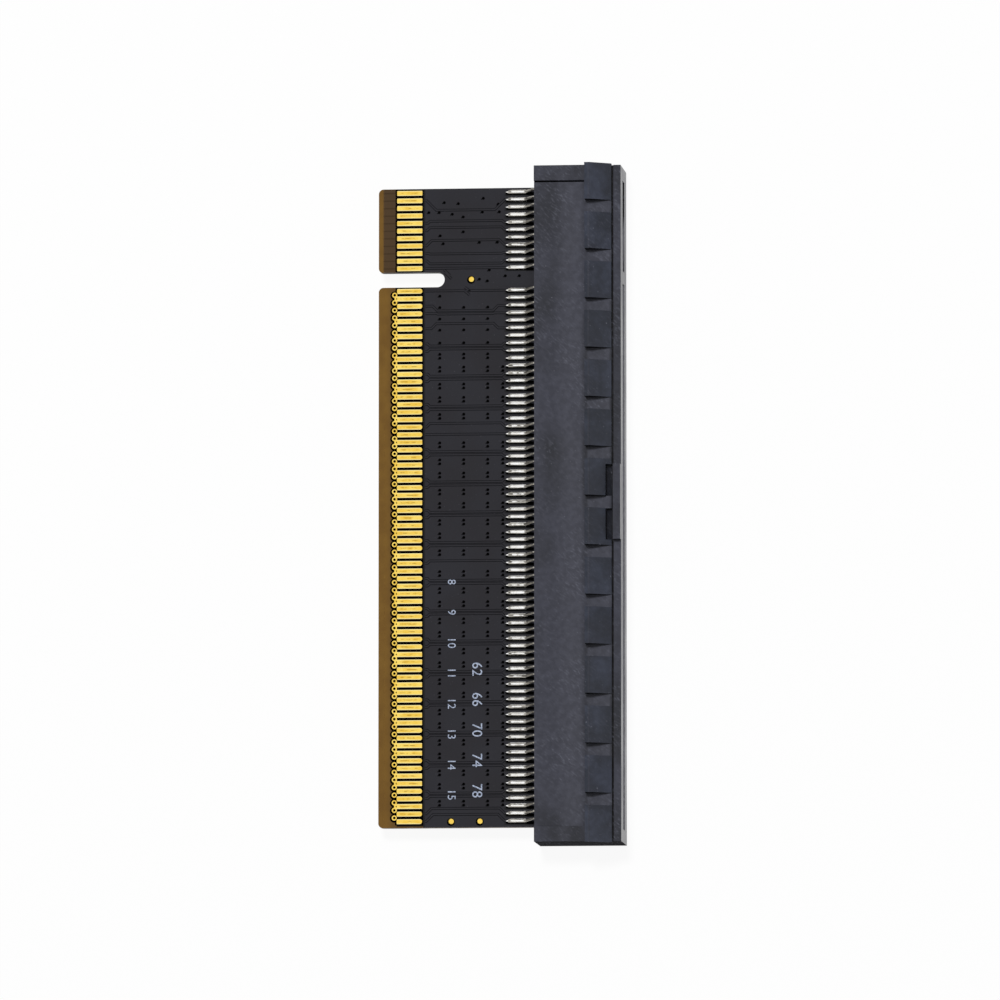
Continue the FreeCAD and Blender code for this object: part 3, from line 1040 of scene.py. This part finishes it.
# traces and vias that show through the mask
reliefSettings = {
    "traceHalf": 0.09 * mm,
    "traceRise": 0.05 * mm,
    "traceSlope": 0.085 * mm,
    "sink": 0.002 * mm,
    "pairGap": 0.21 * mm,
    "leftEnd": 0.25 * mm,
    "rightEnd": 0.1 * mm,
    "leftJog": 0.6 * mm,
    "rightJog": 0.5 * mm,
    "shortestEnd": 0.15 * mm,
    "straightUnder": 0.02 * mm,
    "flatNormal": 0.95,
    "viaColumns": (-8.04 * mm, -4.87 * mm, -1.7 * mm, 0.3 * mm),
    "viaSteps": (0.86, 1.38),  # in millimetres, as in ownSteps
    "viaOuter": 0.2 * mm,
    "viaInner": 0.165 * mm,
    "viaRise": 0.025 * mm,
    "viaEdge": 0.02 * mm,
    "viaTurns": 14,
    "boreRadius": 0.1716 * mm,
    "boreRise": 0.017 * mm,
    "leafThick": 0.012 * mm,
    "shadeSpotShift": (-0.22 * mm, -0.12 * mm),
    "shadeSpotSize": 0.09 * mm,
    "shadeSpotRise": 0.01 * mm,
    "shadeSpotTurns": 10,
}

# how far a line runs from its own pin, where it isn't straight across, in pitches
laneShifts = {
    "front": {2: -1.3, 5: 0.25, 6: 0.4, 8: 0.7, 9: -0.1, 10: -0.4, 14: -0.36, 17: 0.65, 30: 0.45, 48: 0.3,
              81: 0.7, 82: 0.9},
    "back": {3: 0.5, 6: -0.3, 9: 0.4, 13: 0.4, 32: 0.4, 50: -0.4},
}

# lines that step across further in than the rest, left and right, in millimetres
deepJogs = {"front": {14: (1.6, 1.66), 17: (1.43, 1.66)}, "back": {}}

# short slanting steps of the lines that pass the key notch, in millimetres
notchSteps = {
    "front": (((-7.5, 31.3), (-6.7, 30.55)), ((-7.35, 30.9), (-6.5, 30.1)), ((-4.75, 28.95), (-4.0, 28.4)),
              ((-4.75, 28.45), (-4.1, 27.9))),
    "back": (),
}

# vias above and below these pairs stand nearer than the rest and have no fourth column, in millimetres
ownSteps = {
    14: ((0.65,), (0.87,)),
    19: ((0.6,), (0.9, 1.42)),
}

# loose vias beside the pin groups that have no pairs, in millimetres
looseVias = {
    "front": ((-7.46, 40.2), (-5.6, 40.05), (-2.29, 40.72), (-0.3, 39.92), (-9.5, 38.9), (-8.13, 38.9),
              (-6.4, 38.66), (-2.42, 38.9), (-0.17, 38.9), (-4.95, 38.27), (-4.95, 36.3), (-8.0, 35.8),
              (-7.6, 34.75), (-2.82, 34.87), (-0.44, 34.87), (-2.82, 30.0), (-1.5, 31.2), (-1.76, 29.75),
              (0.62, 30.4), (2.48, 30.4), (-8.04, 27.8), (-8.04, 23.3), (-4.87, 23.3), (-1.7, 23.3)),
    "back": ((-7.9, 40.4), (-5.2, 39.6), (-2.2, 40.1), (-0.6, 38.9), (-8.6, 38.2), (-6.1, 37.1), (-3.3, 36.4),
             (-0.9, 35.6), (-7.7, 34.4), (-4.6, 33.5), (-2.0, 33.1), (-5.7, 30.2), (-3.2, 30.6), (1.4, 30.3)),
}


def addRidge(bm, path, side, settings):
    # a raised line with sloping sides along a flat path
    base, top = maskTop - settings["sink"], maskTop - settings["sink"] + settings["traceRise"]
    half, slope = settings["traceHalf"], settings["traceSlope"]
    loops = []
    for i, point in enumerate(path):
        point = Vector(point)
        outward = (Vector(path[min(i + 1, len(path) - 1)]) - point)
        inward = (point - Vector(path[max(i - 1, 0)]))
        inward = inward.normalized() if i > 0 else outward.normalized()
        outward = outward.normalized() if i < len(path) - 1 else inward
        along = (inward + outward).normalized()
        across = Vector((-along.y, along.x)) / max(along.dot(outward), 0.5)  # a mitre, kept short
        wide, narrow = across * (half + slope), across * half
        loops.append([lift(point.x + wide.x, point.y + wide.y, base, side),
                      lift(point.x + narrow.x, point.y + narrow.y, top, side),
                      lift(point.x - narrow.x, point.y - narrow.y, top, side),
                      lift(point.x - wide.x, point.y - wide.y, base, side)])
    skinLoops(bm, loops)


def addVia(rims, bores, centre, side, settings):
    addRing(rims, centre, settings["viaOuter"], settings["viaInner"], maskTop - settings["sink"],
            maskTop + settings["viaRise"], side, settings["viaTurns"], settings["viaEdge"])
    addDisc(bores, centre, settings["boreRadius"], maskTop + settings["boreRise"], side,
            settings["viaTurns"], settings["leafThick"])
    # a dark disc beside each via, in the shaded ink: painted shade
    shadeSpot = (centre[0] + settings["shadeSpotShift"][0], centre[1] + settings["shadeSpotShift"][1])
    addDisc(rims, shadeSpot, settings["shadeSpotSize"], maskTop + settings["shadeSpotRise"], side,
            settings["shadeSpotTurns"], settings["leafThick"])


def tracePath(number, lane, jogs, settings):
    # from the finger to the joint, by way of a lane of its own
    y = pinPlace(number)
    left, right = maskLow[0] + settings["leftEnd"], jointLow[0] + settings["rightEnd"]
    slant = abs(lane - y)
    if slant < settings["straightUnder"]:
        return [(left, y), (right, y)]
    leftJog, rightJog = [jog * mm for jog in jogs] if jogs else (settings["leftJog"], settings["rightJog"])
    laneStart = max(left + leftJog, left + settings["shortestEnd"] + slant)
    laneEnd = min(right - rightJog, right - settings["shortestEnd"] - slant)
    return [(left, y), (laneStart - slant, y), (laneStart, lane),
            (laneEnd, lane), (laneEnd + slant, y), (right, y)]


def makeRelief(faceName, face, settings):
    side, shifts, jogs = face["side"], laneShifts[faceName], deepJogs[faceName]
    traces, rims, bores = bmesh.new(), bmesh.new(), bmesh.new()
    usual = (settings["viaSteps"], settings["viaSteps"])
    for number in face["pairs"]:
        middle = (pinPlace(number) + pinPlace(number + 1)) / 2 + shifts.get(number, 0) * pinRow["pitch"]
        for pin, lane in ((number, middle + settings["pairGap"]), (number + 1, middle - settings["pairGap"])):
            addRidge(traces, tracePath(pin, lane, jogs.get(number), settings), side, settings)
        above, below = ownSteps.get(number, usual) if faceName == "front" else usual
        columns = settings["viaColumns"][:3] if number in ownSteps else settings["viaColumns"]
        for offset in [*above, *[-step for step in below]]:
            for column in columns:
                addVia(rims, bores, (column, middle + offset * mm), side, settings)
    for number in face["singles"]:
        lane = pinPlace(number) + shifts.get(number, 0) * pinRow["pitch"]
        addRidge(traces, tracePath(number, lane, jogs.get(number), settings), side, settings)
    for step in notchSteps[faceName]:
        addRidge(traces, [(x * mm, y * mm) for x, y in step], side, settings)
    for x, y in looseVias[faceName]:
        addVia(rims, bores, (x * mm, y * mm), side, settings)
    # the sloping sides of the traces take the shaded copy of the ink: painted shade
    addPiece(pieceName("maskTraces", faceName), traces, maskInk,
             second=(shadedMaskInk, lambda normal: abs(normal.z) < settings["flatNormal"]))
    # the via rims take the shaded copy of the ink: painted shade
    addPiece(pieceName("viaRims", faceName), rims, shadedMaskInk)
    addPiece(pieceName("viaDots", faceName), bores, boreAndShadowDark)


for faceName, face in layout.items():
    makeRelief(faceName, face, reliefSettings)
print("riser: traces and vias made")


# spring leads, from their feet on the board to their tips in the slot
leadSettings = {
    "half": 0.215 * mm,
    "armHalf": 0.125 * mm,
    "thick": 0.2 * mm,
    "round": 0.05 * mm,
    "roundSteps": 2,
    "sway": 0.012 * mm,
    "heel": 3.32 * mm,
    "flat": 0.2 * mm,
    "rest": 0.8 * mm,
    "step": 0.17 * mm,
    "stepLength": 1.1 * mm,
    "stepBack": (0.3 * mm, 0.5 * mm),
    "narrowing": 0.5 * mm,
    "bumpX": 13.94 * mm,
    "bumpHeight": 0.8 * mm,
    "tipLift": 0.5 * mm,
    "tipRoom": 0.05 * mm,
    "bends": (0.3 * mm, 0.2 * mm, 1.2 * mm, 0.5 * mm),
    "bendSteps": 4,
    "smoothAngle": 40,
}


def share(value, start, length):
    # how much of a length, from its start, a value has gone, 0 to 1
    return min(max((value - start) / length, 0), 1)


def addLead(bm, number, side, settings):
    y = pinPlace(number)
    sway = random.uniform(-settings["sway"], settings["sway"])
    thick, heel = settings["thick"], settings["heel"]
    foot = jointHigh[2] - midPlane + thick / 2
    ceiling = leadHigh[2] - midPlane - thick / 2
    points = [(leadLow[0], foot), (heel, foot), (housingLow[0] - settings["flat"], ceiling),
              (housingLow[0] + settings["rest"], ceiling), (settings["bumpX"], settings["bumpHeight"]),
              (leadHigh[0] - settings["tipRoom"], settings["bumpHeight"] + settings["tipLift"])]
    path = roundedPath(points, settings["bends"], settings["bendSteps"])
    loops = []
    for i, point in enumerate(path):
        narrow = share(point.x, heel, settings["narrowing"])
        half = settings["half"] + (settings["armHalf"] - settings["half"]) * narrow
        section = padOutline(-half, half, -thick / 2, thick / 2, settings["round"], settings["round"], 0.0,
                             settings["roundSteps"])
        along = (path[min(i + 1, len(path) - 1)] - path[max(i - 1, 0)]).normalized()
        up = Vector((-along.y, along.x))
        inside = share(point.x, housingLow[0] + settings["stepBack"][0], settings["stepBack"][1])
        across = y + sway + settings["step"] * share(point.x, heel, settings["stepLength"]) * (1 - inside)
        loops.append([lift(point.x + up.x * v, across + u, point.y + up.y * v, side) for u, v in section])
    skinLoops(bm, loops)


# solder fillets over the leads' feet, with the pad, and near-black plates around them as painted shadow
jointSettings = {
    "toe": 0.68 * mm,
    "heel": 3.5 * mm,
    "half": 0.228 * mm,
    "crown": 0.34 * mm,
    "halfSpread": (0.95, 1.05),
    "crownSpread": (0.96, 1.05),
    "lengthSpread": (0.97, 1.0),
    "sideSpread": (0.98, 1.02),
    "riseSpread": (0.97, 1.03),
    "lean": 0.01 * mm,
    "sink": 0.01 * mm,
    "padStart": 1.13 * mm,
    "padHalf": 0.24 * mm,
    "padLift": 0.03 * mm,
    "padRise": 0.015 * mm,
    "shadowGapSpan": (0.68 * mm, 3.6 * mm),
    "gapHalf": 0.25 * mm,
    "shadowGapDrop": 0.13 * mm,
    "gapRise": 0.008 * mm,
    "padRadius": 0.2 * mm,
    "shadowWellStart": 3.4 * mm,
    "wellHalf": 0.2 * mm,
    "shadowWellDrop": 0.24 * mm,
    "wellRise": 0.006 * mm,
    "shadowWellRadius": 0.05 * mm,
    "smoothAngle": 55,
}

# along the pad: share of the length, share of the width, share of the height
jointStations = ((0.0, 0.1, 0.03), (0.04, 0.3, 0.1), (0.09, 0.46, 0.22), (0.14, 0.6, 0.42), (0.19, 0.8, 0.75),
                 (0.24, 0.95, 0.95), (0.32, 1.0, 1.0), (0.44, 1.0, 1.0), (0.58, 1.0, 1.0), (0.72, 1.0, 1.0),
                 (0.84, 0.97, 1.0), (0.91, 0.85, 0.95), (0.96, 0.6, 0.6), (1.0, 0.3, 0.1))

# across the pad: share of the half width, share of the height
jointSection = ((-1.0, 0.0), (-0.96, 0.2), (-0.9, 0.5), (-0.8, 0.76), (-0.64, 0.9), (-0.36, 0.98), (0.0, 1.0),
                (0.36, 0.98), (0.64, 0.9), (0.8, 0.76), (0.9, 0.5), (0.96, 0.2), (1.0, 0.0))


def addJoint(bm, number, side, settings):
    y = pinPlace(number)
    wide = settings["half"] * random.uniform(*settings["halfSpread"])
    tall = settings["crown"] * random.uniform(*settings["crownSpread"])
    length = (settings["heel"] - settings["toe"]) * random.uniform(*settings["lengthSpread"])
    loops = []
    for lengthShare, widthShare, heightShare in jointStations:
        x = settings["toe"] + length * lengthShare
        half = wide * widthShare * random.uniform(*settings["sideSpread"])
        rise = tall * heightShare * random.uniform(*settings["riseSpread"])
        lean = random.uniform(-settings["lean"], settings["lean"])
        loops.append([lift(x, y + lean + u * half, maskTop + v * rise, side) for u, v in jointSection])
    skinLoops(bm, loops)


def addPad(pads, shadowPlates, number, side, settings):
    # the pad, a near-black plate under the joint and another under its lead near the housing: painted shadow
    def plate(bm, left, right, shift, kind, radius):
        y, half = pinPlace(number) + shift, settings[kind + "Half"]
        flat = padOutline(left, right, y - half, y + half, radius, radius)
        addSlab(bm, flat, maskTop - settings["sink"], maskTop + settings[kind + "Rise"], side)

    plate(pads, settings["padStart"], settings["heel"], settings["padLift"], "pad", settings["padRadius"])
    plate(shadowPlates, *settings["shadowGapSpan"], -settings["shadowGapDrop"], "gap", settings["padRadius"])
    plate(shadowPlates, settings["shadowWellStart"], housingLow[0], -settings["shadowWellDrop"], "well", settings["shadowWellRadius"])


for faceName, face in layout.items():
    for part, pins in pinGroups.items():
        leads, joints, shadowPlates = bmesh.new(), bmesh.new(), bmesh.new()
        for number in pins:
            addLead(leads, number, face["side"], leadSettings)
            addJoint(joints, number, face["side"], jointSettings)
            addPad(joints, shadowPlates, number, face["side"], jointSettings)
        addPiece(pieceName("springLeads", faceName, part), leads, contactMetal,
                 hides=(nodeTitle("contacts", faceName, part),), smoothAngle=leadSettings["smoothAngle"])
        addPiece(pieceName("solderFillets", faceName, part), joints, solder,
                 hides=(nodeTitle("solder_joints", faceName, part),),
                 smoothAngle=jointSettings["smoothAngle"])
        addPiece(pieceName("padShadows", faceName, part), shadowPlates, boreAndShadowDark)
print("riser: leads and solder made")


# low gold domes on the three test points, each over a near-black disc that is painted shadow
testSettings = {
    "radius": 0.36 * mm,
    "height": 0.1 * mm,
    "domeShares": (1.0, 0.94, 0.8, 0.6, 0.35, 0.12),
    "steps": 20,
    "sameSpot": 2 * mm,
    # collar: radius of the near-black disc under each dome, painted shadow
    "collar": 0.52 * mm,
    "shadowDiscShift": (-0.06 * mm, -0.08 * mm),
    "shadowDiscRise": 0.008 * mm,
    "shadowDiscThick": 0.01 * mm,
    "shadowDiscSteps": 24,
    "smoothAngle": 60,
}


def testSpots(sameSpot):
    # the middle of each disc of the CAD node, found from its vertices
    spots = []
    disc = nodes["test_points"]
    for vertex in disc.data.vertices:
        point = disc.matrix_world @ vertex.co
        for spot in spots:
            if (spot[0].xy - point.xy).length < sameSpot:
                spot.append(point)
                break
        else:
            spots.append([point])
    return [[(min(axis) + max(axis)) / 2 for axis in zip(*spot)] for spot in spots]


def makeTestPoints(settings):
    domes, shadowDiscs = bmesh.new(), bmesh.new()
    for x, y, _ in testSpots(settings["sameSpot"]):
        loops = []
        for part in settings["domeShares"]:
            height = maskTop + settings["height"] * math.sqrt(1 - part * part)
            rim = circle((x, y), settings["radius"] * part, settings["steps"])
            loops.append([lift(u, v, height, 1) for u, v in rim])
        skinLoops(domes, loops)
        shiftX, shiftY = settings["shadowDiscShift"]
        addDisc(shadowDiscs, (x + shiftX, y + shiftY), settings["collar"], maskTop + settings["shadowDiscRise"], 1,
                settings["shadowDiscSteps"], settings["shadowDiscThick"])
    addPiece("testDomes", domes, gold, hides=("test_points",), smoothAngle=settings["smoothAngle"])
    addPiece("testShadowDiscs", shadowDiscs, boreAndShadowDark)


makeTestPoints(testSettings)
print("riser: test points made")


# plain pin and lane numbers printed on the mask
legendSettings = {
    "thick": 0.012 * mm,
    "rise": 0.058 * mm,
    "curveSteps": 3,
    "pinColumn": -3.15 * mm,
    "pinSize": 1.9 * mm,
    "pinNumbers": range(62, 79, 4),
    "laneColumn": -6.5 * mm,
    "laneSize": 1.5 * mm,
    "firstLane": 8,
}


def printNumber(words, size, place, settings, parts):
    curve = bpy.data.curves.new("legendWord", "FONT")
    curve.body = words
    curve.size = size
    curve.align_x = "CENTER"
    curve.align_y = "CENTER"
    curve.extrude = settings["thick"] / 2
    curve.resolution_u = settings["curveSteps"]
    word = bpy.data.objects.new("legendWord", curve)
    scene.collection.objects.link(word)
    bpy.context.view_layer.update()
    mesh = bpy.data.meshes.new_from_object(word.evaluated_get(bpy.context.evaluated_depsgraph_get()))
    height = midPlane + maskTop + settings["rise"]
    mesh.transform(Matrix.Translation((place[0], place[1], height)) @ Matrix.Rotation(-math.pi / 2, 4, "Z"))
    parts.from_mesh(mesh)
    bpy.data.objects.remove(word)
    bpy.data.curves.remove(curve)
    bpy.data.meshes.remove(mesh)


def makeLegend(settings):
    parts = bmesh.new()
    for number in settings["pinNumbers"]:
        place = (settings["pinColumn"], pinPlace(number))
        printNumber(str(number), settings["pinSize"], place, settings, parts)
    for lane, number in enumerate(layout["front"]["pairs"]):
        if lane >= settings["firstLane"]:
            place = (settings["laneColumn"], pinPlace(number) - pinRow["pitch"] / 2)
            printNumber(str(lane), settings["laneSize"], place, settings, parts)
    addPiece("legendNumbers", parts, legendInk)


makeLegend(legendSettings)
print("riser: numbers printed")


# slot housing with eased edges, and a near-black sheet at the foot of its upper end strip as painted shadow
housingSettings = {
    "ease": 0.06 * mm,
    "easeSteps": 2,
    "shortestEdge": 0.6 * mm,
    "turn": 35,
    "sameVertex": 0.001 * mm,
    "sameFace": 0.5,
    "dullNormal": -0.6,
    "smoothAngle": 50,
    "flatWeight": 100,
    "footEnd": 6.72 * mm,
    "footY": 2.175 * mm,
    "footWidth": 0.19 * mm,
    "footRise": 0.008 * mm,
}


def makeHousing(settings):
    bm = bmesh.new()
    bm.from_mesh(nodes["connector_housing"].data)
    bmesh.ops.remove_doubles(bm, verts=bm.verts, dist=settings["sameVertex"])
    bmesh.ops.dissolve_limit(bm, angle_limit=math.radians(settings["sameFace"]),
                             verts=bm.verts, edges=bm.edges)
    eased = [edge for edge in bm.edges
             if edge.is_manifold and edge.is_convex and edge.calc_length() > settings["shortestEdge"]
             and edge.calc_face_angle() > math.radians(settings["turn"])]
    bmesh.ops.bevel(bm, geom=eased, offset=settings["ease"], offset_type="OFFSET",
                    segments=settings["easeSteps"], profile=0.5, affect="EDGES", clamp_overlap=True)
    # walls facing the lower end take the shaded copy of the plastic: painted shade
    shell = addPiece("housingShell", bm, housingPlastic, hides=("connector_housing",),
                     smoothAngle=settings["smoothAngle"],
                     second=(housingShadedCopy, lambda normal: normal.y < settings["dullNormal"]))
    weigh = shell.modifiers.new("flatFacesFirst", "WEIGHTED_NORMAL")
    weigh.weight = settings["flatWeight"]
    weigh.keep_sharp = True


def makeFootLine(settings):
    # painted shadow: a near-black sheet lies along the foot of the upper end strip, where it stands up from
    # the open floor
    bm = bmesh.new()
    left, right = housingLow[0] + settings["ease"], housingLow[0] + settings["footEnd"]
    high = housingHigh[1] - settings["footY"]
    low = high - settings["footWidth"]
    level = 2 * midPlane + settings["footRise"]
    corners = ((left, low), (right, low), (right, high), (left, high))
    bm.faces.new([bm.verts.new((x, y, level)) for x, y in corners])
    addPiece("stripFootShadow", bm, boreAndShadowDark)


makeHousing(housingSettings)
makeFootLine(housingSettings)
print("riser: housing made")
